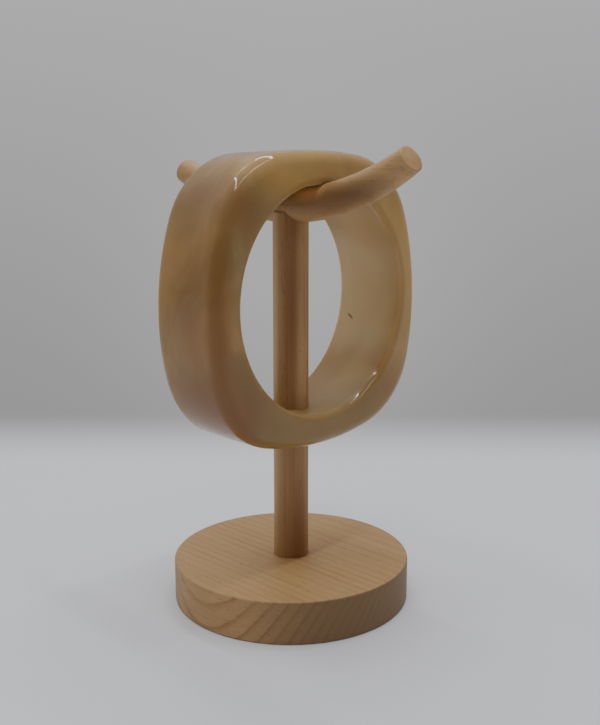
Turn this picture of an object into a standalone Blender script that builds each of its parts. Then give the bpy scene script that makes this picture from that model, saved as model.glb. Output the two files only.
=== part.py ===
"""A bangle of polished stone on a wooden display stand, in metres, +Z up.

The origin is the middle of the base's underside. The arm and the bangle's bore run along Y,
and the near end of the arm and the near face of the bangle look toward -Y. The bangle hangs
on the arm, and the post passes through a hole in the bangle's lower wall.
"""
import math

import bmesh
import bpy
import numpy as np
from mathutils import Matrix, Vector
from mathutils.geometry import intersect_sphere_sphere_2d

# Base and post
BASE_DIAMETER = 0.068
BASE_THICKNESS = 0.012
BASE_EDGE = 0.0006  # rounding of the base's two rims
SOCKET_DEPTH = 0.008  # blind hole for the post's foot
POST_DIAMETER = 0.010

# Arm, measured along its centre line from the post
ARM_HEIGHT = 0.1124  # the centre line's height over the post, its lowest point
ARM_DIAMETER = 0.0095
ARM_END_DIAMETER = 0.0072
ARM_END_ROUND = 0.0004
ARM_NEAR_LENGTH = 0.0436
ARM_NEAR_BEND = 0.080  # radius of the centre line
ARM_FAR_LENGTH = 0.047
ARM_FAR_BEND = 0.108
COPE_SHARE = 0.92  # of the arm's radius that the post's coped top reaches up beside it

# Bangle, seen along its bore
BORE_DIAMETER = 0.0625
BORE_ROUND = 0.0012  # rounding of the bore's two rims
BANGLE_WIDTH = 0.0244  # along the bore
BANGLE_SLIDE = 0.0024  # from the post toward the arm's near end
TOP_WALL = 0.0086
BOTTOM_WALL = 0.0085
SIDE_WALL = 0.0083
OUTLINE_SHIFT = -0.0008  # the outline's middle from the bore's axis, along X
WAIST_DROP = 0.0019  # the outline is widest this far below the bore's axis
SIDE_BEND = 0.0733  # the outline's four flat sides are long arcs
TOP_BEND = 0.146
BOTTOM_BEND = 0.086
CORNER_BEND = 0.0245
RIM_ROUND = 0.0038  # rounding of the outline's two rims

CLEARANCE = 0.0003  # between pieces that touch

BASE_SIDES = 72
POST_SIDES = 40
COPE_RINGS = 4  # across the post's coped top
ARM_SIDES = 32
ARM_STEPS = 13  # sections in each half of the arm
BANGLE_SIDES = 96
EDGE_STEPS = 3  # facets across each rounding
RIM_STEPS = 4  # facets across the outline's larger rounding
OUTLINE_STEPS = 40  # points in each arc of the outline
ARM_SAMPLES = 181  # places along the arm where the bore's roof could touch it
ARM_SAMPLE_TURNS = 37  # places over the arm's upper half

BORE_RADIUS = BORE_DIAMETER / 2
POST_RADIUS = POST_DIAMETER / 2
BANGLE_MIDDLE = -BANGLE_SLIDE  # along Y

BEECH = (0.56, 0.36, 0.18)
AGATE = (0.38, 0.23, 0.11)


def clear_scene():
    for old in list(bpy.data.objects):
        bpy.data.objects.remove(old, do_unlink=True)


def material(name, colour, roughness):
    made = bpy.data.materials.new(name)
    made.use_nodes = True
    shader = made.node_tree.nodes["Principled BSDF"]
    shader.inputs["Base Color"].default_value = (*colour, 1.0)
    shader.inputs["Roughness"].default_value = roughness
    shader.inputs["Metallic"].default_value = 0.0
    return made


def piece(name, bm, surface):
    """Turn the bmesh into a named, smooth-shaded object."""
    bmesh.ops.recalc_face_normals(bm, faces=bm.faces[:])
    mesh = bpy.data.meshes.new(name)
    bm.to_mesh(mesh)
    bm.free()
    mesh.materials.append(surface)
    mesh.shade_smooth()
    mesh.set_sharp_from_angle(angle=math.radians(35))
    made = bpy.data.objects.new(name, mesh)
    bpy.context.collection.objects.link(made)
    return made


def arc(centre, radius, start, stop, steps):
    """Points of an arc in a plane, from one angle to another."""
    angles = np.linspace(start, stop, steps)
    return [(centre[0] + radius * math.cos(a), centre[1] + radius * math.sin(a)) for a in angles]


def loop_edges(verts):
    """The closed loop of edges that joins the vertices of one section."""
    members = set(verts)
    return list({edge for vert in verts for edge in vert.link_edges if edge.other_vert(vert) in members})


def make_base(surface):
    """A turned disc with rounded rims and a blind socket in its top."""
    outer = BASE_DIAMETER / 2
    socket = POST_RADIUS + CLEARANCE
    floor = BASE_THICKNESS - SOCKET_DEPTH
    inset = outer - BASE_EDGE
    profile = [(0.0, 0.0)]
    profile += arc((inset, BASE_EDGE), BASE_EDGE, -math.pi / 2, 0.0, EDGE_STEPS + 1)
    upper_rim = (inset, BASE_THICKNESS - BASE_EDGE)
    profile += arc(upper_rim, BASE_EDGE, 0.0, math.pi / 2, EDGE_STEPS + 1)
    profile += [(socket, BASE_THICKNESS), (socket, floor), (0.0, floor)]

    bm = bmesh.new()
    verts = [bm.verts.new((reach, 0.0, height)) for reach, height in profile]
    edges = [bm.edges.new(pair) for pair in zip(verts, verts[1:])]
    bmesh.ops.spin(
        bm,
        geom=verts + edges,
        cent=(0.0, 0.0, 0.0),
        axis=(0.0, 0.0, 1.0),
        angle=2 * math.pi,
        steps=BASE_SIDES,
        use_merge=True,
    )
    bmesh.ops.remove_doubles(bm, verts=bm.verts[:], dist=1e-6)
    return piece("stand_base", bm, surface)


def arm_section(length):
    """Centre, slope and radius of the arm, length counted from the post and positive to the far end."""
    near = length < 0
    bend = ARM_NEAR_BEND if near else ARM_FAR_BEND
    share = length / (ARM_NEAR_LENGTH if near else ARM_FAR_LENGTH)
    slope = length / bend
    centre = Vector((0.0, bend * math.sin(slope), ARM_HEIGHT + bend * (1 - math.cos(slope))))
    radius = (ARM_DIAMETER - (ARM_DIAMETER - ARM_END_DIAMETER) * share**2) / 2
    return centre, slope, radius


def arm_underside(x, y):
    """The height of the arm's underside, CLEARANCE below the wood, above a point near the post."""
    bend = ARM_NEAR_BEND if y < 0 else ARM_FAR_BEND
    centre, slope, radius = arm_section(bend * math.asin(y / bend))
    reach = radius + CLEARANCE
    across = min(abs(x), COPE_SHARE * reach)
    return centre.z - math.sqrt(reach**2 - across**2)


def loft(bm, sections, sides):
    """Bridge round sections, each a radius and a matrix, and cap the first and the last."""
    before = None
    for radius, matrix in sections:
        end = (radius, matrix) in (sections[0], sections[-1])
        circle = bmesh.ops.create_circle(bm, cap_ends=end, radius=radius, segments=sides, matrix=matrix)
        ring = loop_edges(circle["verts"])
        if before:
            bmesh.ops.bridge_loops(bm, edges=before + ring)
        before = ring


def make_post(surface):
    """A dowel from the socket's floor to the arm, its top coped to the arm."""
    foot = BASE_THICKNESS - SOCKET_DEPTH + CLEARANCE
    length = ARM_HEIGHT - foot
    bm = bmesh.new()
    bmesh.ops.create_cone(
        bm,
        cap_ends=True,
        radius1=POST_RADIUS,
        radius2=POST_RADIUS,
        depth=length,
        segments=POST_SIDES,
        matrix=Matrix.Translation((0.0, 0.0, foot + length / 2)),
    )
    top = max(bm.faces, key=lambda face: face.calc_center_median().z)
    for _ in range(COPE_RINGS):
        bmesh.ops.inset_region(bm, faces=[top], thickness=POST_RADIUS / (COPE_RINGS + 1))
    for vert in bm.verts:
        if vert.co.z > foot + SOCKET_DEPTH:
            vert.co.z = arm_underside(vert.co.x, vert.co.y)
    return piece("stand_post", bm, surface)


def make_arm(surface):
    """A bent dowel, thinner toward both ends, lofted through round sections."""
    lengths = [-ARM_NEAR_LENGTH]
    lengths += list(np.linspace(-ARM_NEAR_LENGTH + ARM_END_ROUND, 0.0, ARM_STEPS))
    lengths += list(np.linspace(0.0, ARM_FAR_LENGTH - ARM_END_ROUND, ARM_STEPS))[1:]
    lengths += [ARM_FAR_LENGTH]
    sections = []
    for length in lengths:
        centre, slope, radius = arm_section(length)
        if length in (lengths[0], lengths[-1]):
            radius -= ARM_END_ROUND
        upright = Matrix.Rotation(slope - math.pi / 2, 4, "X")
        sections.append((radius, Matrix.Translation(centre) @ upright))
    bm = bmesh.new()
    loft(bm, sections, ARM_SIDES)
    return piece("stand_arm", bm, surface)


def bore_height():
    """The height of the bore's axis at which its roof hangs CLEARANCE above the arm."""
    straight = BANGLE_WIDTH / 2 - BORE_ROUND
    reach = BORE_RADIUS - CLEARANCE
    highest = 0.0
    for length in np.linspace(-ARM_NEAR_LENGTH, ARM_FAR_LENGTH, ARM_SAMPLES):
        centre, slope, radius = arm_section(length)
        for turn in np.linspace(0.0, math.pi, ARM_SAMPLE_TURNS):
            lift = radius * math.sin(turn)
            x = radius * math.cos(turn)
            y = centre.y - lift * math.sin(slope)
            z = centre.z + lift * math.cos(slope)
            if abs(y - BANGLE_MIDDLE) <= straight:
                highest = max(highest, z - math.sqrt(reach**2 - x**2))
    return highest


def quarter_outline(height, end_bend):
    """A quarter of the outline, from its widest point to its top: side arc, corner arc, end arc."""
    side = Vector((BORE_RADIUS + SIDE_WALL - SIDE_BEND, 0.0))
    end = Vector((0.0, height - end_bend))
    corners = intersect_sphere_sphere_2d(side, SIDE_BEND - CORNER_BEND, end, end_bend - CORNER_BEND)
    corner = max(corners, key=sum)
    side_stop = math.atan2(corner.y - side.y, corner.x - side.x)
    end_start = math.atan2(corner.y - end.y, corner.x - end.x)
    points = arc(side, SIDE_BEND, 0.0, side_stop, OUTLINE_STEPS)
    points += arc(corner, CORNER_BEND, side_stop, end_start, OUTLINE_STEPS)
    points += arc(end, end_bend, end_start, math.pi / 2, OUTLINE_STEPS)
    return np.array(points)


def outline_reach(angles):
    """How far the outline lies from the bore's axis in each direction."""
    upper = quarter_outline(BORE_RADIUS + TOP_WALL + WAIST_DROP, TOP_BEND)
    lower = quarter_outline(BORE_RADIUS + BOTTOM_WALL - WAIST_DROP, BOTTOM_BEND)
    middle = (OUTLINE_SHIFT, -WAIST_DROP)
    points = np.concatenate([upper, upper * (-1, 1), lower * (-1, -1), lower * (1, -1)]) + middle
    around = np.arctan2(points[:, 1], points[:, 0])
    order = np.argsort(around)
    return np.interp(angles, around[order], np.hypot(*points[order].T), period=2 * math.pi)


def make_bangle(surface):
    """A flat ring of the outline and the bore, extruded along the bore, with all four rims rounded."""
    axis_height = bore_height()
    angles = np.linspace(0.0, 2 * math.pi, BANGLE_SIDES, endpoint=False)
    near = BANGLE_MIDDLE - BANGLE_WIDTH / 2

    bm = bmesh.new()
    loops = []
    for reaches in (np.full(BANGLE_SIDES, BORE_RADIUS), outline_reach(angles)):
        verts = [
            bm.verts.new((reach * math.cos(angle), near, axis_height + reach * math.sin(angle)))
            for reach, angle in zip(reaches, angles)
        ]
        loops += [bm.edges.new(pair) for pair in zip(verts, verts[1:] + verts[:1])]
    flat = bmesh.ops.bridge_loops(bm, edges=loops)["faces"]
    far = bmesh.ops.extrude_face_region(bm, geom=flat, use_keep_orig=True)["geom"]
    far_verts = [item for item in far if isinstance(item, bmesh.types.BMVert)]
    bmesh.ops.translate(bm, verts=far_verts, vec=(0.0, BANGLE_WIDTH, 0.0))

    def in_bore(vert):
        return math.hypot(vert.co.x, vert.co.z - axis_height) < BORE_RADIUS + CLEARANCE

    around = [edge for edge in bm.edges if edge.verts[0].co.y == edge.verts[1].co.y]
    outer_rims = [edge for edge in around if not any(in_bore(vert) for vert in edge.verts)]
    bore_rims = [edge for edge in around if all(in_bore(vert) for vert in edge.verts)]
    for rims, rounding, steps in ((outer_rims, RIM_ROUND, RIM_STEPS), (bore_rims, BORE_ROUND, EDGE_STEPS)):
        bmesh.ops.bevel(
            bm, geom=rims, offset=rounding, segments=steps, profile=0.5, affect="EDGES", material=-1
        )
    bangle = piece("bangle", bm, surface)
    cut_post_hole(bangle, axis_height)
    return bangle


def cut_post_hole(bangle, axis_height):
    """Cut the hole that the post passes through, from the bore's axis down past the lower wall."""
    depth = 2 * (BORE_RADIUS + BOTTOM_WALL)
    bm = bmesh.new()
    bmesh.ops.create_cone(
        bm,
        cap_ends=True,
        radius1=POST_RADIUS + CLEARANCE,
        radius2=POST_RADIUS + CLEARANCE,
        depth=depth,
        segments=POST_SIDES,
        matrix=Matrix.Translation((0.0, 0.0, axis_height - depth / 2)),
    )
    mesh = bpy.data.meshes.new("post_hole")
    bm.to_mesh(mesh)
    bm.free()
    cutter = bpy.data.objects.new("post_hole", mesh)
    bpy.context.collection.objects.link(cutter)
    cutter.hide_render = True
    cutter.display_type = "WIRE"
    hole = bangle.modifiers.new("Post hole", "BOOLEAN")
    hole.operation = "DIFFERENCE"
    hole.solver = "EXACT"
    hole.object = cutter


def main():
    clear_scene()
    beech = material("beech", BEECH, 0.5)
    make_base(beech)
    make_post(beech.copy())
    make_arm(beech.copy())
    make_bangle(material("agate", AGATE, 0.12))


main()
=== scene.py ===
"""A polished stone bangle on a turned wooden stand, in metres, +Z up.

The arm and the bangle's bore run along Y, and their near ends look toward -Y.
"""

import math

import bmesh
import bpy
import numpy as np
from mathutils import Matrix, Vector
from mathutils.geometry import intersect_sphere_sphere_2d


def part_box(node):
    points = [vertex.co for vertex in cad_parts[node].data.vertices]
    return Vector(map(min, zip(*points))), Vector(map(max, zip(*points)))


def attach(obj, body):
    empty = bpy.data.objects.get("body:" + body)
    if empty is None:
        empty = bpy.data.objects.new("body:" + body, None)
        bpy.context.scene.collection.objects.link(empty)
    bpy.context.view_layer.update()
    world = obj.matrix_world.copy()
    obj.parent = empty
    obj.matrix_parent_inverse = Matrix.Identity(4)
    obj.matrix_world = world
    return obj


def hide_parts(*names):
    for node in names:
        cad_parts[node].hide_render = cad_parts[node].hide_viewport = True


bl_info = {
    "name": "Bangle on Display Stand",
    "version": (1, 0, 0),
    "blender": (4, 5, 0),
    "location": "View3D > Sidebar > Bangle",
    "description": "Builds a polished stone bangle, the wooden stand that holds it and a small studio",
    "category": "Add Mesh",
}

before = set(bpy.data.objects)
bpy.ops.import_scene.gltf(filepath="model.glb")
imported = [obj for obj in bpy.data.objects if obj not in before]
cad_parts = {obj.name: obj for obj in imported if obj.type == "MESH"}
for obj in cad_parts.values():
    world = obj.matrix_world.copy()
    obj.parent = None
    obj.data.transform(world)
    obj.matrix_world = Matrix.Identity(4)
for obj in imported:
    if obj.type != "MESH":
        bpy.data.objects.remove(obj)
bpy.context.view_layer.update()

BASE_LOW, BASE_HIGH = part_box("stand_base")
POST_LOW, POST_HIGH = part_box("stand_post")
ARM_LOW, ARM_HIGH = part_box("stand_arm")
BANGLE_LOW, BANGLE_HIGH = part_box("bangle")

MM = 0.001
TO_MM = (1 / MM,) * 3
NEARLY = 0.000001  # places closer than this are the same
SOLID_GAP = 0.0003  # between the solids that touch
COPE_SHARE = 0.92  # of the arm's radius that the post's coped top reaches up beside it

# how finely the pieces are divided
BASE_SIDES = 192
BASE_EDGE_POINTS = 7
POST_SIDES = 128
COPE_RINGS = 10
ARM_SIDES = 96
ARM_SECTIONS = 70
ARM_RIM_POINTS = 6
BANGLE_SIDES = 288
OUTLINE_POINTS = 90
RIM_STEPS = 12
BORE_STEPS = 8
SHARP_EDGE = math.radians(35)  # edges that turn more than this stay sharp

# wood
RING_WANDER = 12.0  # mm that the rings stray over a long way, at a wobble of 1
RING_TREMBLE = 3.0  # mm that they stray over a short way
RING_DEPTH = 2.2  # how dark a ring grows before its own strength is counted
RING_STOP = 0.84  # the share of its year after which a ring's dark wood falls away
FIBRE_TONE = 0.3
FLECK_TONE = 0.5
FLECK_STOP = 0.86  # the noise value at which a fleck is darkest

# stone
CLOUD_DRIFT = 16.0  # mm that the clouds and veils are pulled about
ZONE_DRIFT = 7.0  # mm that the coloured zones are pulled about
VEIL_TONE = 0.35
BAND_TONE = 0.12
BORE_DULLNESS = 0.36  # how much rougher the bore is than the rest
FLECK_TILT = -0.55  # radians, about X

# the stage
FLOOR_HALF = 4.0  # from the floor's middle to its edges
WALL_START, WALL_STOP = -0.3, 0.45  # the look's slope where the wall starts and stops getting lighter
GLOW_DROP = 0.13  # the slope down to the middle of the wall's glow
GLOW_FOCUS = 60.0  # a higher power makes the glow narrower
SHADE_STOP = 0.9  # how squarely a ray looks to the near side where the shade is full
LIGHT_TINT = (1.0, 0.99, 0.98)
LAMP_STRIPS = (
    # name, one end, other end, brightness against the others
    ("lamp_near", (-0.28, -0.14), (0.19, -0.14), 1.0),
    ("lamp_far", (-0.06, 0.455), (0.20, 0.455), 0.4),
    ("lamp_left", (-0.28, -0.12), (-0.06, 0.44), 0.65),
    ("lamp_right", (0.20, -0.12), (0.20, 0.43), 1.0),
)

FLOAT = "NodeSocketFloat"
VECTOR = "NodeSocketVector"


def length(name, default, description):
    """A size that can be set in the panel."""
    return bpy.props.FloatProperty(
        name=name, default=default, description=description, min=0.0, precision=5, unit="LENGTH"
    )


def colour(name, default, description):
    """A colour that can be set in the panel."""
    return bpy.props.FloatVectorProperty(
        name=name, default=default, description=description, size=3, min=0.0, max=1.0, subtype="COLOR"
    )


def factor(name, default, description):
    """A plain number that can be set in the panel."""
    return bpy.props.FloatProperty(name=name, default=default, description=description, min=0.0)


def angle(name, degrees, description):
    """An angle that can be set in the panel."""
    return bpy.props.FloatProperty(
        name=name, default=math.radians(degrees), description=description, subtype="ANGLE"
    )


class StandSizes(bpy.types.PropertyGroup):
    base_diameter: length("Base diameter", BASE_HIGH.x - BASE_LOW.x, "Across the round base")
    base_thickness: length("Base thickness", BASE_HIGH.z, "Height of the base")
    base_edge: length("Base edge", 0.0006, "Rounding of the base's two rims")
    socket_depth: length("Socket depth", 0.008, "Blind hole for the post's foot")
    post_diameter: length("Post diameter", POST_HIGH.x - POST_LOW.x, "Across the post")
    arm_diameter: length("Arm diameter", ARM_HIGH.x - ARM_LOW.x, "Across the arm over the post")
    arm_end_diameter: length("Arm end diameter", 0.0072, "Across the arm's two ends")
    arm_end_round: length("Arm end rounding", 0.0004, "Rounding of the arm's two end rims")
    arm_near_length: length("Arm near length", 0.0436, "Centre line from the post to the near end")
    arm_near_bend: length("Arm near bend", 0.080, "Radius of the near half's centre line")
    arm_far_length: length("Arm far length", 0.047, "Centre line from the post to the far end")
    arm_far_bend: length("Arm far bend", 0.108, "Radius of the far half's centre line")
    clearance: length("Clearance", 0.00008, "Gap between pieces that touch")


class BangleSizes(bpy.types.PropertyGroup):
    bore_diameter: length("Bore diameter", 0.0625, "Across the round bore")
    bore_round: length("Bore rounding", 0.0012, "Rounding of the bore's two rims")
    top_wall: length("Top wall", 0.0086, "Stone over the bore")
    bottom_wall: length("Bottom wall", 0.0085, "Stone under the bore")
    side_wall: length("Side wall", 0.0083, "Stone beside the bore")
    outline_shift: bpy.props.FloatProperty(
        name="Outline shift",
        default=-0.0008,
        description="The outline's middle from the bore's axis, along X",
        precision=5,
        unit="LENGTH",
    )
    waist_drop: length("Waist drop", 0.0019, "The outline is widest this far below the bore's axis")
    side_bend: length("Side bend", 0.0733, "Radius of the outline's two side arcs")
    top_bend: length("Top bend", 0.146, "Radius of the outline's top arc")
    bottom_bend: length("Bottom bend", 0.086, "Radius of the outline's bottom arc")
    corner_bend: length("Corner bend", 0.0245, "Radius of the outline's four corners")
    rim_round: length("Rim rounding", 0.0038, "Rounding of the outline's two rims")


class StoneColours(bpy.types.PropertyGroup):
    honey: colour("Honey", (0.41, 0.25, 0.093), "The stone's body")
    # olive also paints shade on the bore's two rounded rims
    olive: colour("Olive", (0.275, 0.178, 0.063), "Greener, denser clouds")
    cream: colour("Cream", (0.63, 0.485, 0.285), "Milky veils")
    milk: colour("Milk", (0.84, 0.635, 0.33), "The palest veils, in the bore")
    gold: colour("Gold", (0.55, 0.355, 0.125), "Clear golden stone at the top")
    mauve: colour("Mauve", (0.255, 0.14, 0.07), "Pink-brown corners")
    # russet also paints the shade along the stone's near rim
    russet: colour("Russet", (0.25, 0.115, 0.035), "Dark band along the near rim")
    fleck: colour("Fleck", (0.05, 0.045, 0.02), "The dark inclusion in the bore")


class WoodColours(bpy.types.PropertyGroup):
    pale: colour("Pale wood", (0.485, 0.302, 0.13), "Wood between the rings")
    ring: colour("Ring", (0.33, 0.175, 0.062), "Late wood")
    # painted highlights on the post's left edge and along the arm's top
    painted_highlight: colour("Painted highlight", (0.72, 0.50, 0.25), "Palest streaks")
    # heart also paints shade on the post and along the arm's flank
    heart: colour("Heart", (0.24, 0.095, 0.03), "Reddish heart streaks")
    # umber also paints shade: on the arm's flank, the post's right front, the base's top beside the post and
    # the base's camera-facing side
    umber: colour("Umber", (0.15, 0.085, 0.035), "Wood cut across the grain, and the arm's flank")
    # amber paints warm light on the arm where the bangle shades it
    amber: colour("Amber", (1.0, 0.55, 0.22), "Warm patch on the arm inside the bore")


class StageSettings(bpy.types.PropertyGroup):
    floor_colour: colour("Floor", (0.72, 0.735, 0.79), "The pale floor under the stand")
    wall_low: colour("Low wall", (0.332, 0.328, 0.333), "The surroundings below the horizon")
    wall_high: colour("High wall", (0.585, 0.578, 0.60), "The surroundings above the horizon")
    wall_glow: factor("Wall glow", 0.33, "How much brighter the wall is behind the bangle")
    floor_reach: length("Floor reach", 0.175, "From the post to where the floor has faded half away")
    floor_fade: length("Floor fade", 0.05, "Half the width of the band in which the floor fades")
    side_light: factor("Side light", 0.36, "Brightness of the surroundings at eye level")
    top_light: factor("Top light", 0.8, "Brightness of the surroundings overhead")
    front_shade: factor("Front shade", 0.5, "How much darker the surroundings are on the near side")
    lamp_height: length("Lamp height", 0.6, "The lamp frame over the floor")
    lamp_strip: length("Lamp strip", 0.02, "Width of the frame's four strips")
    lamp_power: factor("Lamp power", 2.45, "Power of the frame's four strips together")
    camera_distance: length("Camera distance", 0.2549, "From the post's axis to the camera, over the floor")
    camera_height: length("Camera height", 0.1163, "Above the floor")
    camera_bearing: angle("Camera bearing", 44.86, "The way from camera to post, turned from +Y toward +X")
    camera_heading: angle("Camera heading", 45.44, "The way the camera looks, turned from +Y toward +X")
    camera_pitch: angle("Camera pitch", 10.58, "How far the camera looks down")
    lens: bpy.props.FloatProperty(
        name="Lens", default=45.45, description="Focal length", unit="CAMERA", min=1.0
    )


class BangleStandSettings(bpy.types.PropertyGroup):
    stand: bpy.props.PointerProperty(type=StandSizes, name="Stand", description="Sizes of the stand")
    bangle: bpy.props.PointerProperty(type=BangleSizes, name="Bangle", description="Sizes of the bangle")
    stone: bpy.props.PointerProperty(type=StoneColours, name="Stone", description="Colours of the stone")
    wood: bpy.props.PointerProperty(type=WoodColours, name="Wood", description="Colours of the wood")
    stage: bpy.props.PointerProperty(type=StageSettings, name="Stage", description="Floor, light and camera")


class Graph:
    """Adds nodes to one node tree and links what it is given."""

    def __init__(self, tree):
        self.tree = tree

    def feed(self, socket, value):
        if isinstance(value, bpy.types.NodeSocket):
            self.tree.links.new(value, socket)
        elif socket.type == "RGBA" and len(value) == 3:
            socket.default_value = (*value, 1.0)
        else:
            socket.default_value = value

    def node(self, kind, inputs=None, **settings):
        made = self.tree.nodes.new(kind)
        for name, value in settings.items():
            setattr(made, name, value)
        for key, value in (inputs or {}).items():
            self.feed(made.inputs[key], value)
        return made

    def group(self, tree, inputs):
        """Place a node group, whose sockets exist only once its tree is set."""
        made = self.node("ShaderNodeGroup", node_tree=tree)
        for name, value in inputs.items():
            self.feed(made.inputs[name], value)
        return made

    def math(self, operation, *values, clamp=False):
        inputs = dict(enumerate(values))
        return self.node("ShaderNodeMath", inputs, operation=operation, use_clamp=clamp).outputs[0]

    def vector(self, operation, *values):
        made = self.node("ShaderNodeVectorMath", dict(enumerate(values)), operation=operation)
        return made.outputs["Value" if operation in ("LENGTH", "DOT_PRODUCT") else "Vector"]

    def mix(self, share, first, second):
        """Mix two colours, which are the node's sockets 6 and 7."""
        made = self.node("ShaderNodeMix", data_type="RGBA")
        self.feed(made.inputs["Factor"], share)
        self.feed(made.inputs[6], first)
        self.feed(made.inputs[7], second)
        return made.outputs[2]

    def step(self, value, low, high, start=0.0, stop=1.0):
        """Rise smoothly from start to stop while the value goes from low to high."""
        inputs = {0: value, 1: low, 2: high, 3: start, 4: stop}
        return self.node("ShaderNodeMapRange", inputs, interpolation_type="SMOOTHSTEP").outputs[0]

    def noise(self, vector, scale, detail=2.0, roughness=0.5):
        inputs = {"Vector": vector, "Scale": scale, "Detail": detail, "Roughness": roughness}
        return self.node("ShaderNodeTexNoise", inputs)

    def mapping(self, vector, location=(0.0, 0.0, 0.0), rotation=(0.0, 0.0, 0.0), scale=(1.0, 1.0, 1.0)):
        inputs = {"Vector": vector, "Location": location, "Rotation": rotation, "Scale": scale}
        return self.node("ShaderNodeMapping", inputs).outputs[0]


def new_group(name, inputs, outputs):
    """An empty node group with named sockets: inputs are (name, kind, default), outputs (name, kind)."""
    group = bpy.data.node_groups.new(name, "ShaderNodeTree")
    for label, kind, default in inputs:
        socket = group.interface.new_socket(name=label, in_out="INPUT", socket_type=kind)
        socket.default_value = default
    for label, kind in outputs:
        group.interface.new_socket(name=label, in_out="OUTPUT", socket_type=kind)
    graph = Graph(group)
    return graph, graph.node("NodeGroupInput").outputs, graph.node("NodeGroupOutput").inputs


def soft_zone_group():
    """A mask that is 1 in the middle of an ellipsoid and fades to 0 at its skin."""
    graph, given, result = new_group(
        "Soft zone",
        [
            ("Vector", VECTOR, (0.0, 0.0, 0.0)),
            ("Centre", VECTOR, (0.0, 0.0, 0.0)),
            ("Reach", VECTOR, (1.0, 1.0, 1.0)),
            ("Core", FLOAT, 0.2),
            ("Strength", FLOAT, 1.0),
        ],
        [("Mask", FLOAT)],
    )
    offset = graph.vector("SUBTRACT", given["Vector"], given["Centre"])
    share = graph.vector("LENGTH", graph.vector("DIVIDE", offset, given["Reach"]))
    mask = graph.step(share, given["Core"], 1.0, 1.0, 0.0)
    graph.feed(result["Mask"], graph.math("MULTIPLY", mask, given["Strength"]))
    return graph.tree


def wood_grain_group():
    """Growth rings round the local Z axis, fibres along it and short ray flecks; the vector is in mm."""
    graph, given, result = new_group(
        "Wood grain",
        [
            ("Vector", VECTOR, (0.0, 0.0, 0.0)),
            ("Ring Spacing", FLOAT, 2.2),
            ("Ring Wobble", FLOAT, 1.0),
            ("Fleck Share", FLOAT, 0.3),
        ],
        [("Rings", FLOAT), ("Fibres", FLOAT), ("Flecks", FLOAT), ("Clouds", FLOAT), ("Height", FLOAT)],
    )
    local = given["Vector"]

    def streaks(across, along, detail=2.0, roughness=0.5):
        """Noise drawn out along the grain, from its scales across the grain and along it."""
        drawn_out = graph.mapping(local, scale=(across, across, along))
        return graph.noise(drawn_out, 1.0, detail, roughness).outputs["Fac"]

    # the rings: how far out a place is, in years, and what share of its year has passed there
    wander = graph.math("MULTIPLY", given["Ring Wobble"], RING_WANDER)
    tremble = graph.math("MULTIPLY", given["Ring Wobble"], RING_TREMBLE)
    from_pith = graph.vector("LENGTH", graph.vector("MULTIPLY", local, (1.0, 1.0, 0.0)))
    slow = graph.math("SUBTRACT", streaks(0.035, 0.010), 0.5)
    quick = graph.math("SUBTRACT", streaks(0.30, 0.05), 0.5)
    reach = graph.math("MULTIPLY_ADD", slow, wander, from_pith)
    reach = graph.math("MULTIPLY_ADD", quick, tremble, reach)
    years = graph.math("DIVIDE", reach, given["Ring Spacing"])
    share = graph.math("FRACT", years)
    year_end = graph.step(share, RING_STOP, 1.0, 1.0, 0.0)
    late_wood = graph.math("MULTIPLY", graph.math("POWER", share, 4.0), year_end)
    year = graph.node("ShaderNodeTexWhiteNoise", {"W": graph.math("FLOOR", years)}, noise_dimensions="1D")
    strength = graph.math("MULTIPLY_ADD", year.outputs["Value"], 0.4, 0.6)
    strength = graph.math("MULTIPLY", strength, graph.step(streaks(0.14, 0.03), 0.35, 0.65, 0.55, 1.0))
    rings = graph.math("MULTIPLY", graph.math("MULTIPLY", late_wood, RING_DEPTH), strength, clamp=True)

    fine = graph.math("MULTIPLY", streaks(2.6, 0.07, detail=4.0, roughness=0.65), 0.6)
    broad = graph.math("MULTIPLY", streaks(0.8, 0.03), 0.4)
    fibres = graph.math("ADD", fine, broad)
    fleck_start = graph.math("SUBTRACT", FLECK_STOP, given["Fleck Share"])
    flecks = graph.step(streaks(2.0, 0.42, detail=0.0), fleck_start, FLECK_STOP)

    graph.feed(result["Rings"], rings)
    graph.feed(result["Fibres"], fibres)
    graph.feed(result["Flecks"], flecks)
    graph.feed(result["Clouds"], streaks(0.09, 0.025, detail=3.0))
    graph.feed(result["Height"], graph.math("SUBTRACT", fibres, graph.math("MULTIPLY", rings, 0.5)))
    return graph.tree


def shared_group(name, make):
    """The node group of that name, made on its first use."""
    return bpy.data.node_groups.get(name) or make()


def new_material(name):
    """A material with its graph, its shader and the object coordinates of what it is on."""
    made = bpy.data.materials.new(name)
    made.use_nodes = True
    shader = made.node_tree.nodes["Principled BSDF"]
    graph = Graph(made.node_tree)
    place = graph.node("ShaderNodeTexCoord").outputs["Object"]
    return made, graph, shader, place


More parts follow.
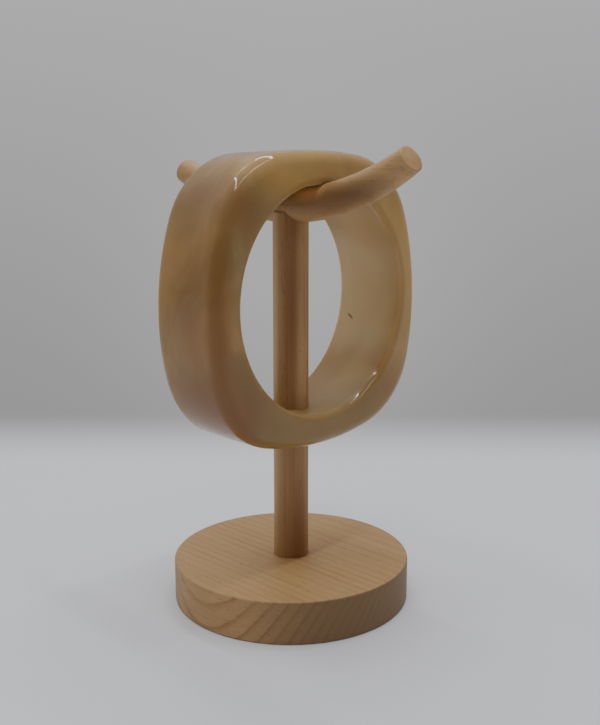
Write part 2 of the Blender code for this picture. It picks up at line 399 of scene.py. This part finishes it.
def beech(
    name, colours, location, rotation, spacing, wobble, rings, heart, end_shade, flat_fade=0.0, stains_and_painted_light=()
):
    """Fine-sanded beech. Location and rotation put the tree's pith on the grain's local Z axis.

    Rings and heart say how strong the year rings and the reddish clouds are, end_shade how much darker
    the wood is where it is cut across the grain, flat_fade how much fainter the rings are on top. Each
    stain or patch of painted light or shade is a tint, its centre and reach in mm, and a strength.
    """
    made, graph, shader, place = new_material(name)
    local = graph.mapping(place, location, rotation, TO_MM)
    inputs = {"Vector": local, "Ring Spacing": spacing, "Ring Wobble": wobble, "Fleck Share": 0.22}
    grain = graph.group(shared_group("Wood grain", wood_grain_group), inputs)
    normal = graph.node("ShaderNodeTexCoord").outputs["Normal"]

    upward = graph.node("ShaderNodeSeparateXYZ", {0: normal}).outputs["Z"]
    ring_share = graph.step(upward, 0.2, 0.9, rings, rings * (1 - flat_fade))
    ring_tone = graph.math("MULTIPLY", grain.outputs["Rings"], ring_share)
    fibre_tone = graph.math("MULTIPLY", graph.step(grain.outputs["Fibres"], 0.36, 0.64), FIBRE_TONE)
    shade = graph.mix(graph.math("ADD", ring_tone, fibre_tone), colours.pale, colours.ring)
    reds = graph.math("MULTIPLY", graph.step(grain.outputs["Clouds"], 0.42, 0.72), heart)
    shade = graph.mix(reds, shade, colours.heart)
    shade = graph.mix(graph.math("MULTIPLY", grain.outputs["Flecks"], FLECK_TONE), shade, colours.heart)

    along_grain = graph.mapping(normal, rotation=rotation)
    along_grain = graph.node("ShaderNodeSeparateXYZ", {0: along_grain}).outputs["Z"]
    end_grain = graph.step(graph.math("ABSOLUTE", along_grain), 0.25, 0.95, 0.0, end_shade)
    shade = graph.mix(end_grain, shade, colours.umber)
    in_mm = graph.mapping(place, scale=TO_MM)
    for tint, centre, reach, strength in stains_and_painted_light:
        shade = tinted_inside(graph, shade, in_mm, tint, centre, reach, 0.0, strength)

    graph.feed(shader.inputs["Base Color"], shade)
    graph.feed(shader.inputs["Roughness"], graph.math("MULTIPLY_ADD", grain.outputs["Fibres"], 0.16, 0.44))
    relief = {"Strength": 0.25, "Distance": 0.08 * MM, "Height": grain.outputs["Height"]}
    graph.feed(shader.inputs["Normal"], graph.node("ShaderNodeBump", relief).outputs["Normal"])
    shader.inputs["Specular IOR Level"].default_value = 0.4
    return made


def soft_zone(graph, vector, centre, reach, core, strength):
    """A mask that fades from the strength in the middle of an ellipsoid to 0 at its skin."""
    inputs = {"Vector": vector, "Centre": centre, "Reach": reach, "Core": core, "Strength": strength}
    return graph.group(shared_group("Soft zone", soft_zone_group), inputs).outputs["Mask"]


def tinted_inside(graph, shade, vector, tint, centre, reach, core, strength):
    """Tint the shade inside a soft ellipsoid."""
    return graph.mix(soft_zone(graph, vector, centre, reach, core, strength), shade, tint)


def stone_zones(colours):
    """Where the stone is tinted, in mm; the russet zones along the near rim are painted shade."""
    return (
        # tint, centre, reach, core, strength
        (colours.gold, (-8.0, -13.0, 121.0), (31.0, 12.0, 14.0), 0.0, 0.75),
        (colours.olive, (0.0, -3.0, 46.0), (60.0, 40.0, 40.0), 0.2, 0.85),
        (colours.mauve, (-33.0, -3.0, 117.0), (14.0, 18.0, 14.0), 0.0, 0.7),
        (colours.mauve, (-34.0, -6.0, 60.0), (22.0, 22.0, 22.0), 0.1, 0.9),
        (colours.russet, (-35.0, -6.0, 56.0), (15.0, 18.0, 20.0), 0.0, 0.9),
        # painted shade: the outer left side darkens toward the near rim
        (colours.russet, (-40.0, -7.0, 88.0), (10.0, 13.0, 44.0), 0.0, 0.58),
        (colours.cream, (31.0, 2.0, 88.0), (13.0, 24.0, 44.0), 0.2, 0.8),
        (colours.gold, (31.0, -4.0, 98.0), (12.0, 15.0, 30.0), 0.1, 0.45),
        (colours.milk, (31.0, 1.0, 92.0), (10.0, 18.0, 36.0), 0.2, 0.35),
        (colours.milk, (31.0, 6.5, 90.0), (9.0, 3.2, 26.0), 0.1, 0.15),
        (colours.gold, (36.0, -15.0, 92.0), (12.0, 9.0, 44.0), 0.1, 0.5),
        (colours.gold, (24.0, -8.0, 107.0), (15.0, 18.0, 15.0), 0.2, 0.75),
        (colours.gold, (20.0, 0.0, 64.0), (13.0, 16.0, 11.0), 0.2, 0.45),
        (colours.mauve, (-8.0, 2.0, 127.5), (40.0, 13.0, 5.0), 0.1, 0.33),
        # painted shade: a dark russet band along the near rim, where the rounding faces the dark near side
        (colours.russet, (-29.5, -14.5, 112.5), (9.0, 6.0, 11.0), 0.1, 0.6),
        (colours.russet, (-31.5, -13.5, 60.0), (9.0, 6.0, 13.0), 0.0, 0.45),
        (colours.russet, (26.0, -15.0, 60.0), (15.0, 7.0, 16.0), 0.0, 0.28),
        (colours.russet, (-37.5, -15.0, 85.0), (5.5, 5.0, 52.0), 0.1, 0.78),
    )


def agate(colours, bore, bore_height):
    """Milky honey-brown stone with clouds, faint bands, coloured corners and a high polish, with painted
    shade along its near rim and on its bore's rims.

    The bore's radius and its axis's height are in mm.
    """
    made, graph, shader, place = new_material("agate")
    local = graph.mapping(place, scale=TO_MM)
    drift = graph.noise(local, 0.035, detail=3.0, roughness=0.55).outputs["Color"]
    drift = graph.vector("SUBTRACT", drift, (0.5, 0.5, 0.5))
    warped = graph.vector("ADD", local, graph.vector("MULTIPLY", drift, (CLOUD_DRIFT,) * 3))
    eased = graph.vector("ADD", local, graph.vector("MULTIPLY", drift, (ZONE_DRIFT,) * 3))

    clouds = graph.noise(warped, 0.055, detail=5.0).outputs["Fac"]
    shade = graph.mix(graph.step(clouds, 0.35, 0.65), colours.honey, colours.olive)
    veils = graph.mapping(warped, scale=(0.05, 0.09, 0.03))
    veils = graph.step(graph.noise(veils, 1.0, detail=6.0, roughness=0.55).outputs["Fac"], 0.5, 0.78)
    shade = graph.mix(graph.math("MULTIPLY", veils, VEIL_TONE), shade, colours.cream)
    slant = graph.mapping(warped, rotation=(0.5, 0.35, 0.0))
    bands = graph.node(
        "ShaderNodeTexWave",
        {"Vector": slant, "Scale": 0.035, "Distortion": 2.5, "Detail": 3.0, "Detail Scale": 0.6},
        wave_type="BANDS",
        bands_direction="X",
    )
    shade = graph.mix(graph.math("MULTIPLY", bands.outputs["Fac"], BAND_TONE), shade, colours.russet)

    for tint, centre, reach, core, strength in stone_zones(colours):
        shade = tinted_inside(graph, shade, eased, tint, centre, reach, core, strength)
    # painted shade: a thin dark line under the top's near rim, where the pale top turns into the rounded rim
    shade = tinted_inside(graph, shade, local, colours.russet, (-6.0, -11.2, 124.5), (34.0, 1.5, 4.5), 0.0, 0.45)
    # painted shade: the bore's two rounded rims are tinted toward olive, which dulls the warm glow they
    # catch
    from_axis = graph.vector("SUBTRACT", local, (0.0, 0.0, bore_height))
    radius = graph.vector("LENGTH", graph.vector("MULTIPLY", from_axis, (1.0, 0.0, 1.0)))
    rim = graph.step(radius, bore + 0.05, bore + 0.65)
    rim = graph.math("MULTIPLY", rim, graph.step(radius, bore + 1.05, bore + 2.15, 0.5, 0.0))
    shade = graph.mix(rim, shade, colours.olive)
    # the fleck is a thin tilted flake in the bore
    tilted = graph.mapping(local, rotation=(FLECK_TILT, 0.0, 0.0))
    flake = Matrix.Rotation(FLECK_TILT, 3, "X") @ Vector((30.5, 4.3, 78.7))
    shade = tinted_inside(graph, shade, tilted, colours.fleck, flake, (3.0, 2.2, 0.6), 0.1, 0.8)
    graph.feed(shader.inputs["Base Color"], shade)

    # polished, but dull at the near rim over the arm, and in the bore behind that rim
    polish = graph.math("MULTIPLY_ADD", clouds, 0.03, 0.045)
    rubbed = soft_zone(graph, local, (-3.0, -13.0, 118.5), (11.0, 6.0, 4.0), 0.3, 0.45)
    depth = graph.node("ShaderNodeSeparateXYZ", {0: local}).outputs["Y"]
    near_rim = BANGLE_LOW.y / MM
    dull = graph.step(radius, bore + 0.05, bore + 0.75, BORE_DULLNESS, 0.0)
    dull = graph.math("MULTIPLY", dull, graph.step(depth, near_rim + 1.2, near_rim + 3.0))
    graph.feed(shader.inputs["Roughness"], graph.math("ADD", graph.math("ADD", polish, rubbed), dull))
    shader.inputs["Specular IOR Level"].default_value = 0.28
    shader.inputs["IOR"].default_value = 1.54
    shader.inputs["Subsurface Weight"].default_value = 1.0
    shader.inputs["Subsurface Radius"].default_value = (1.0, 0.75, 0.5)
    shader.inputs["Subsurface Scale"].default_value = 4 * MM
    ripple = graph.noise(local, 0.11, detail=1.0).outputs["Fac"]
    relief = {"Strength": 0.35, "Distance": 0.4 * MM, "Height": ripple}
    graph.feed(shader.inputs["Normal"], graph.node("ShaderNodeBump", relief).outputs["Normal"])
    return made


def make_piece(name, bm, surface, node):
    """Turn the bmesh into a smooth piece that stands for a CAD node and takes its finish from a slot."""
    bmesh.ops.recalc_face_normals(bm, faces=bm.faces[:])
    mesh = bpy.data.meshes.new(name)
    bm.to_mesh(mesh)
    bm.free()
    mesh.materials.append(surface)
    smooth(mesh)
    made = bpy.data.objects.new(name, mesh)
    bpy.context.collection.objects.link(made)
    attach(made, "root")
    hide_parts(node)
    return made


def smooth(mesh):
    """Shade the mesh smooth but for its sharp edges."""
    mesh.shade_smooth()
    mesh.set_sharp_from_angle(angle=SHARP_EDGE)


def arc(centre, radius, start, stop, steps):
    """Points of an arc in a plane, from one angle to another."""
    angles = np.linspace(start, stop, steps)
    return [(centre[0] + radius * math.cos(a), centre[1] + radius * math.sin(a)) for a in angles]


def loop_edges(verts):
    """The closed loop of edges that joins the vertices of one section."""
    members = set(verts)
    return list({edge for vert in verts for edge in vert.link_edges if edge.other_vert(vert) in members})


def arm_section(sizes, reach):
    """Centre, slope and radius of the arm, the reach counted from the post and positive to the far end.

    The arm lies higher than its solid, so that it keeps only the clearance from the bore's roof.
    """
    near = reach < 0
    bend = sizes.arm_near_bend if near else sizes.arm_far_bend
    share = reach / (sizes.arm_near_length if near else sizes.arm_far_length)
    slope = reach / bend
    lowest = ARM_LOW.z + SOLID_GAP - sizes.clearance + sizes.arm_diameter / 2
    centre = Vector((0.0, bend * math.sin(slope), lowest + bend * (1 - math.cos(slope))))
    radius = (sizes.arm_diameter - (sizes.arm_diameter - sizes.arm_end_diameter) * share**2) / 2
    return centre, slope, radius


def arm_underside(sizes, x, y):
    """The height of the arm's underside, the clearance below the wood, over a point near the post."""
    bend = sizes.arm_near_bend if y < 0 else sizes.arm_far_bend
    centre, slope, radius = arm_section(sizes, bend * math.asin(y / bend))
    reach = radius + sizes.clearance
    across = min(abs(x), COPE_SHARE * reach)
    return centre.z - math.sqrt(reach**2 - across**2)


class AddBase(bpy.types.Operator):
    """Add the turned wooden base with its blind socket"""

    bl_idname = "bangle_stand.add_base"
    bl_label = "Add Base"

    def execute(self, context):
        settings = context.scene.bangle_stand
        sizes = settings.stand
        outer = sizes.base_diameter / 2
        socket = sizes.post_diameter / 2 + sizes.clearance
        top = sizes.base_thickness
        floor = top - sizes.socket_depth
        edge = sizes.base_edge
        profile = [(0.0, 0.0), (outer / 2, 0.0)]
        profile += arc((outer - edge, edge), edge, -math.pi / 2, 0.0, BASE_EDGE_POINTS)
        profile += arc((outer - edge, top - edge), edge, 0.0, math.pi / 2, BASE_EDGE_POINTS)
        profile += [(outer / 2, top), (socket, top), (socket, floor), (0.0, floor)]

        bm = bmesh.new()
        verts = [bm.verts.new((reach, 0.0, height)) for reach, height in profile]
        edges = [bm.edges.new(pair) for pair in zip(verts, verts[1:])]
        bmesh.ops.spin(
            bm,
            geom=verts + edges,
            cent=(0.0, 0.0, 0.0),
            axis=(0.0, 0.0, 1.0),
            angle=2 * math.pi,
            steps=BASE_SIDES,
            use_merge=True,
        )
        bmesh.ops.remove_doubles(bm, verts=bm.verts[:], dist=NEARLY)
        wood = beech(
            "base_beech",
            settings.wood,
            location=(-55.0, -32.0, 0.0),
            rotation=(math.pi / 2, 0.0, 0.0),
            spacing=2.27,
            wobble=0.14,
            rings=1.0,
            heart=0.12,
            # the end grain is darker, and this strong end_shade also paints the shade on the base's
            # camera-facing side
            end_shade=0.82,
            flat_fade=0.5,
            # painted shadow on the base's top beside the post's foot
            stains_and_painted_light=((settings.wood.umber, (28.0, -14.0, 9.0), (34.0, 34.0, 16.0), 0.17),),
        )
        make_piece("turned_base", bm, wood, "stand_base")
        return {"FINISHED"}


class AddPost(bpy.types.Operator):
    """Add the straight post with its coped top"""

    bl_idname = "bangle_stand.add_post"
    bl_label = "Add Post"

    def execute(self, context):
        settings = context.scene.bangle_stand
        sizes = settings.stand
        radius = sizes.post_diameter / 2
        foot = POST_LOW.z
        height = ARM_LOW.z - foot
        bm = bmesh.new()
        bmesh.ops.create_cone(
            bm,
            cap_ends=True,
            radius1=radius,
            radius2=radius,
            depth=height,
            segments=POST_SIDES,
            matrix=Matrix.Translation((0.0, 0.0, foot + height / 2)),
        )
        top = max(bm.faces, key=lambda face: face.calc_center_median().z)
        for _ in range(COPE_RINGS):
            bmesh.ops.inset_region(bm, faces=[top], thickness=radius / (COPE_RINGS + 1))
        for vert in bm.verts:
            if vert.co.z > foot + height / 2:
                vert.co.z = arm_underside(sizes, vert.co.x, vert.co.y)
        wood = beech(
            "post_beech",
            settings.wood,
            location=(16.0, -14.0, 0.0),
            rotation=(0.0, 0.0, 0.0),
            spacing=2.3,
            wobble=0.2,
            rings=0.4,
            heart=0.3,
            end_shade=0.3,
            stains_and_painted_light=(
                # a reddish heart stripe down the camera side, dark enough to paint the shade there as well
                (settings.wood.heart, (-3.1, -3.9, 84.0), (3.3, 3.3, 60.0), 0.82),
                # painted shade round the post's foot
                (settings.wood.heart, (-1.5, -4.5, 14.0), (7.0, 6.5, 42.0), 0.95),
                # darker on the camera side just under the arm
                (settings.wood.heart, (-2.5, -4.0, 109.0), (4.5, 4.5, 12.0), 0.5),
                # painted light: a pale stripe down the post's left edge
                (settings.wood.painted_highlight, (-5.0, 1.5, 80.0), (2.4, 3.2, 90.0), 0.75),
                # painted shade down the post's right front
                (settings.wood.umber, (4.5, -3.0, 80.0), (4.5, 5.0, 105.0), 0.36),
            ),
        )
        make_piece("straight_post", bm, wood, "stand_post")
        return {"FINISHED"}


class AddArm(bpy.types.Operator):
    """Add the curved arm, thinner toward both ends"""

    bl_idname = "bangle_stand.add_arm"
    bl_label = "Add Arm"

    def execute(self, context):
        settings = context.scene.bangle_stand
        sizes = settings.stand
        rounding = sizes.arm_end_round
        near, far = -sizes.arm_near_length, sizes.arm_far_length
        stations = [(reach, 0.0) for reach in np.linspace(near + rounding, far - rounding, ARM_SECTIONS)]
        for turn in np.linspace(0.0, math.pi / 2, ARM_RIM_POINTS):
            inward = rounding * (1 - math.sin(turn))
            trim = rounding * (1 - math.cos(turn))
            stations += [(near + inward, trim), (far - inward, trim)]
        stations = sorted(set(stations))
        bm = bmesh.new()
        before = None
        for reach, trim in stations:
            centre, slope, radius = arm_section(sizes, reach)
            upright = Matrix.Rotation(slope - math.pi / 2, 4, "X")
            end = (reach, trim) in (stations[0], stations[-1])
            circle = bmesh.ops.create_circle(
                bm,
                cap_ends=end,
                radius=radius - trim,
                segments=ARM_SIDES,
                matrix=Matrix.Translation(centre) @ upright,
            )
            ring = loop_edges(circle["verts"])
            if before:
                bmesh.ops.bridge_loops(bm, edges=before + ring)
            before = ring
        wood = beech(
            "arm_beech",
            settings.wood,
            location=(12.0, 100.0, 0.0),
            rotation=(math.pi / 2, 0.0, 0.0),
            spacing=2.6,
            wobble=0.3,
            rings=0.4,
            heart=0.25,
            end_shade=0.05,
            stains_and_painted_light=(
                # painted shade along the arm's near flank
                (settings.wood.umber, (-5.2, -26.0, 115.0), (6.5, 29.0, 8.5), 0.88),
                # painted shade: a reddish tone on the same flank
                (settings.wood.heart, (-5.0, -18.0, 113.5), (6.0, 26.0, 8.0), 0.35),
                # painted warm light on the arm's top where the bangle shades it
                (settings.wood.amber, (-4.0, -9.5, 117.5), (4.5, 9.0, 5.0), 1.0),
                # painted highlight along the arm's top
                (settings.wood.painted_highlight, (0.0, -26.0, 126.0), (6.0, 24.0, 5.0), 0.5),
            ),
        )
        make_piece("curved_arm", bm, wood, "stand_arm")
        return {"FINISHED"}


def quarter_outline(sizes, height, end_bend):
    """A quarter of the outline, from its widest point to its top: side arc, corner arc, end arc."""
    side = Vector((sizes.bore_diameter / 2 + sizes.side_wall - sizes.side_bend, 0.0))
    end = Vector((0.0, height - end_bend))
    corners = intersect_sphere_sphere_2d(
        side, sizes.side_bend - sizes.corner_bend, end, end_bend - sizes.corner_bend
    )
    corner = max(corners, key=sum)
    side_stop = math.atan2(corner.y - side.y, corner.x - side.x)
    end_start = math.atan2(corner.y - end.y, corner.x - end.x)
    points = arc(side, sizes.side_bend, 0.0, side_stop, OUTLINE_POINTS)
    points += arc(corner, sizes.corner_bend, side_stop, end_start, OUTLINE_POINTS)
    points += arc(end, end_bend, end_start, math.pi / 2, OUTLINE_POINTS)
    return np.array(points)


def outline_reach(sizes, bearing):
    """How far the outline lies from the bore's axis in one direction."""
    bore = sizes.bore_diameter / 2
    upper = quarter_outline(sizes, bore + sizes.top_wall + sizes.waist_drop, sizes.top_bend)
    lower = quarter_outline(sizes, bore + sizes.bottom_wall - sizes.waist_drop, sizes.bottom_bend)
    middle = (sizes.outline_shift, -sizes.waist_drop)
    points = np.concatenate([upper, upper * (-1, 1), lower * (-1, -1), lower * (1, -1)]) + middle
    around = np.arctan2(points[:, 1], points[:, 0])
    order = np.argsort(around)
    return np.interp(bearing, around[order], np.hypot(*points[order].T), period=2 * math.pi)


class AddBangle(bpy.types.Operator):
    """Add the polished stone bangle with the hole that the post passes through"""

    bl_idname = "bangle_stand.add_bangle"
    bl_label = "Add Bangle"

    def execute(self, context):
        settings = context.scene.bangle_stand
        sizes = settings.bangle
        stand = settings.stand
        bore = sizes.bore_diameter / 2
        axis_height = BANGLE_HIGH.z - sizes.top_wall - bore
        bm = bmesh.new()
        facing = Matrix.Translation((0.0, BANGLE_LOW.y, axis_height)) @ Matrix.Rotation(math.pi / 2, 4, "X")
        bmesh.ops.create_circle(bm, radius=bore, segments=BANGLE_SIDES, matrix=facing)
        outer = bmesh.ops.create_circle(
            bm, radius=bore + sizes.side_wall, segments=BANGLE_SIDES, matrix=facing
        )
        for vert in outer["verts"]:
            bearing = math.atan2(vert.co.z - axis_height, vert.co.x)
            reach = outline_reach(sizes, bearing)
            vert.co.x = reach * math.cos(bearing)
            vert.co.z = axis_height + reach * math.sin(bearing)
        flat = bmesh.ops.bridge_loops(bm, edges=bm.edges[:])["faces"]
        far = bmesh.ops.extrude_face_region(bm, geom=flat, use_keep_orig=True)["geom"]
        far_verts = [item for item in far if isinstance(item, bmesh.types.BMVert)]
        bmesh.ops.translate(bm, verts=far_verts, vec=(0.0, BANGLE_HIGH.y - BANGLE_LOW.y, 0.0))

        def in_bore(vert):
            return math.hypot(vert.co.x, vert.co.z - axis_height) < bore + NEARLY

        def along_bore(edge):
            return abs(edge.verts[0].co.y - edge.verts[1].co.y) > NEARLY

        around = [edge for edge in bm.edges if not along_bore(edge)]
        outer_rims = [edge for edge in around if not any(in_bore(vert) for vert in edge.verts)]
        bore_rims = [edge for edge in around if all(in_bore(vert) for vert in edge.verts)]
        for rims, rounding, steps in (
            (outer_rims, sizes.rim_round, RIM_STEPS),
            (bore_rims, sizes.bore_round, BORE_STEPS),
        ):
            bmesh.ops.bevel(
                bm, geom=rims, offset=rounding, segments=steps, profile=0.5, affect="EDGES", material=-1
            )
        stone = agate(settings.stone, bore / MM, axis_height / MM)
        made = make_piece("polished_bangle", bm, stone, "bangle")
        drill(made, stand.post_diameter / 2 + stand.clearance, axis_height)
        return {"FINISHED"}


def drill(piece, radius, start):
    """Drill a hole straight down through the piece from a height."""
    bm = bmesh.new()
    bmesh.ops.create_cone(
        bm,
        cap_ends=True,
        radius1=radius,
        radius2=radius,
        depth=start,
        segments=POST_SIDES,
        matrix=Matrix.Translation((0.0, 0.0, start / 2)),
    )
    mesh = bpy.data.meshes.new("post_hole")
    bm.to_mesh(mesh)
    bm.free()
    cutter = bpy.data.objects.new("post_hole", mesh)
    bpy.context.collection.objects.link(cutter)
    hole = piece.modifiers.new("Post hole", "BOOLEAN")
    hole.operation = "DIFFERENCE"
    hole.solver = "EXACT"
    hole.object = cutter
    shape = piece.evaluated_get(bpy.context.evaluated_depsgraph_get())
    drilled = bpy.data.meshes.new_from_object(shape)
    piece.modifiers.clear()
    piece.data = drilled
    smooth(drilled)
    bpy.data.objects.remove(cutter)


class AddStage(bpy.types.Operator):
    """Add the pale floor, the soft studio light and the camera"""

    bl_idname = "bangle_stand.add_stage"
    bl_label = "Add Stage"

    def execute(self, context):
        stage = context.scene.bangle_stand.stage
        make_floor(stage)
        make_world(context.scene, stage)
        make_lights(stage)
        make_camera(context.scene, stage)
        return {"FINISHED"}


def level_way(bearing):
    """The level direction at an angle from +Y toward +X."""
    return Vector((math.sin(bearing), math.cos(bearing), 0.0))


def make_floor(stage):
    """A pale floor that ends softly behind the stand, where the wall starts."""
    bm = bmesh.new()
    bmesh.ops.create_grid(bm, x_segments=1, y_segments=1, size=FLOOR_HALF)
    mesh = bpy.data.meshes.new("floor")
    bm.to_mesh(mesh)
    bm.free()
    floor = bpy.data.objects.new("floor", mesh)
    bpy.context.collection.objects.link(floor)
    made, graph, shader, place = new_material("pale_floor")
    away = graph.vector("DOT_PRODUCT", place, level_way(stage.camera_heading))
    far = graph.step(away, stage.floor_reach - stage.floor_fade, stage.floor_reach + stage.floor_fade)
    graph.feed(shader.inputs["Base Color"], stage.floor_colour)
    shader.inputs["Roughness"].default_value = 0.7
    clear = graph.node("ShaderNodeBsdfTransparent")
    faded = graph.node("ShaderNodeMixShader", {0: far, 1: shader.outputs["BSDF"], 2: clear.outputs["BSDF"]})
    output = made.node_tree.nodes["Material Output"]
    graph.feed(output.inputs["Surface"], faded.outputs["Shader"])
    mesh.materials.append(made)


def make_world(scene, stage):
    """Pale walls for the camera, and soft light from above and from the sides for everything else."""
    world = bpy.data.worlds.new("studio")
    world.use_nodes = True
    scene.world = world
    graph = Graph(world.node_tree)
    toward = graph.node("ShaderNodeTexCoord").outputs["Generated"]
    height = graph.node("ShaderNodeSeparateXYZ", {0: toward}).outputs["Z"]
    heading = level_way(stage.camera_heading)

    wall = graph.mix(graph.step(height, WALL_START, WALL_STOP), stage.wall_low, stage.wall_high)
    behind = (heading + Vector((0.0, 0.0, -GLOW_DROP))).normalized()
    glow = graph.math("MAXIMUM", graph.vector("DOT_PRODUCT", toward, behind), 0.0)
    glow = graph.math("POWER", glow, GLOW_FOCUS)
    glow = graph.math("MULTIPLY_ADD", glow, stage.wall_glow, 1.0)
    seen = graph.node("ShaderNodeBackground", {"Color": wall, "Strength": glow})

    nearness = graph.vector("DOT_PRODUCT", toward, -heading)
    shade = graph.step(nearness, 0.0, SHADE_STOP, 0.0, stage.front_shade)
    level = graph.step(height, 0.0, 1.0, stage.side_light, stage.top_light)
    level = graph.math("MULTIPLY", level, graph.math("SUBTRACT", 1.0, shade))
    light = graph.node("ShaderNodeBackground", {"Color": LIGHT_TINT, "Strength": level})

    ray = graph.node("ShaderNodeLightPath").outputs["Is Camera Ray"]
    both = graph.node("ShaderNodeMixShader", {0: ray, 1: light.outputs[0], 2: seen.outputs[0]})
    graph.feed(world.node_tree.nodes["World Output"].inputs["Surface"], both.outputs[0])


def make_lights(stage):
    """A frame of four strip lights overhead, which the polished stone mirrors as a thin outline."""
    whole = sum(math.dist(start, stop) * share for _, start, stop, share in LAMP_STRIPS)
    for name, start, stop, share in LAMP_STRIPS:
        reach = Vector(stop) - Vector(start)
        data = bpy.data.lights.new(name, "AREA")
        data.shape = "RECTANGLE"
        data.size = reach.length
        data.size_y = stage.lamp_strip
        data.energy = stage.lamp_power * reach.length * share / whole
        lamp = bpy.data.objects.new(name, data)
        lamp.location = (*((Vector(start) + Vector(stop)) / 2), stage.lamp_height)
        lamp.rotation_euler.z = math.atan2(reach.y, reach.x)
        bpy.context.collection.objects.link(lamp)


def make_camera(scene, stage):
    """A camera at the photo's angle."""
    data = bpy.data.cameras.new("camera")
    data.lens = stage.lens
    data.clip_start = 0.01
    camera = bpy.data.objects.new("camera", data)
    camera.location = -level_way(stage.camera_bearing) * stage.camera_distance
    camera.location.z = stage.camera_height
    camera.rotation_euler = (math.pi / 2 - stage.camera_pitch, 0.0, -stage.camera_heading)
    bpy.context.collection.objects.link(camera)
    scene.camera = camera


class BangleStandPanel(bpy.types.Panel):
    """Sizes, colours and the pieces in the order that they are added"""

    bl_idname = "VIEW3D_PT_bangle_stand"
    bl_label = "Bangle on Display Stand"
    bl_space_type = "VIEW_3D"
    bl_region_type = "UI"
    bl_category = "Bangle"

    def draw(self, context):
        settings = context.scene.bangle_stand
        for group in (settings.stand, settings.bangle, settings.stone, settings.wood, settings.stage):
            box = self.layout.box()
            for name in group.bl_rna.properties.keys():
                if name not in ("rna_type", "name"):
                    box.prop(group, name)
        for operator in OPERATORS:
            self.layout.operator(operator.bl_idname)


GROUPS = (StandSizes, BangleSizes, StoneColours, WoodColours, StageSettings, BangleStandSettings)
OPERATORS = (AddBase, AddPost, AddArm, AddBangle, AddStage)
CLASSES = (*GROUPS, *OPERATORS, BangleStandPanel)


def register():
    for cls in CLASSES:
        bpy.utils.register_class(cls)
    bpy.types.Scene.bangle_stand = bpy.props.PointerProperty(
        type=BangleStandSettings, name="Bangle stand", description="Sizes and colours of bangle and stand"
    )


def unregister():
    del bpy.types.Scene.bangle_stand
    for cls in reversed(CLASSES):
        bpy.utils.unregister_class(cls)


def main():
    register()
    bpy.ops.bangle_stand.add_base()
    bpy.ops.bangle_stand.add_post()
    bpy.ops.bangle_stand.add_arm()
    bpy.ops.bangle_stand.add_bangle()
    bpy.ops.bangle_stand.add_stage()


if __name__ == "__main__":
    main()
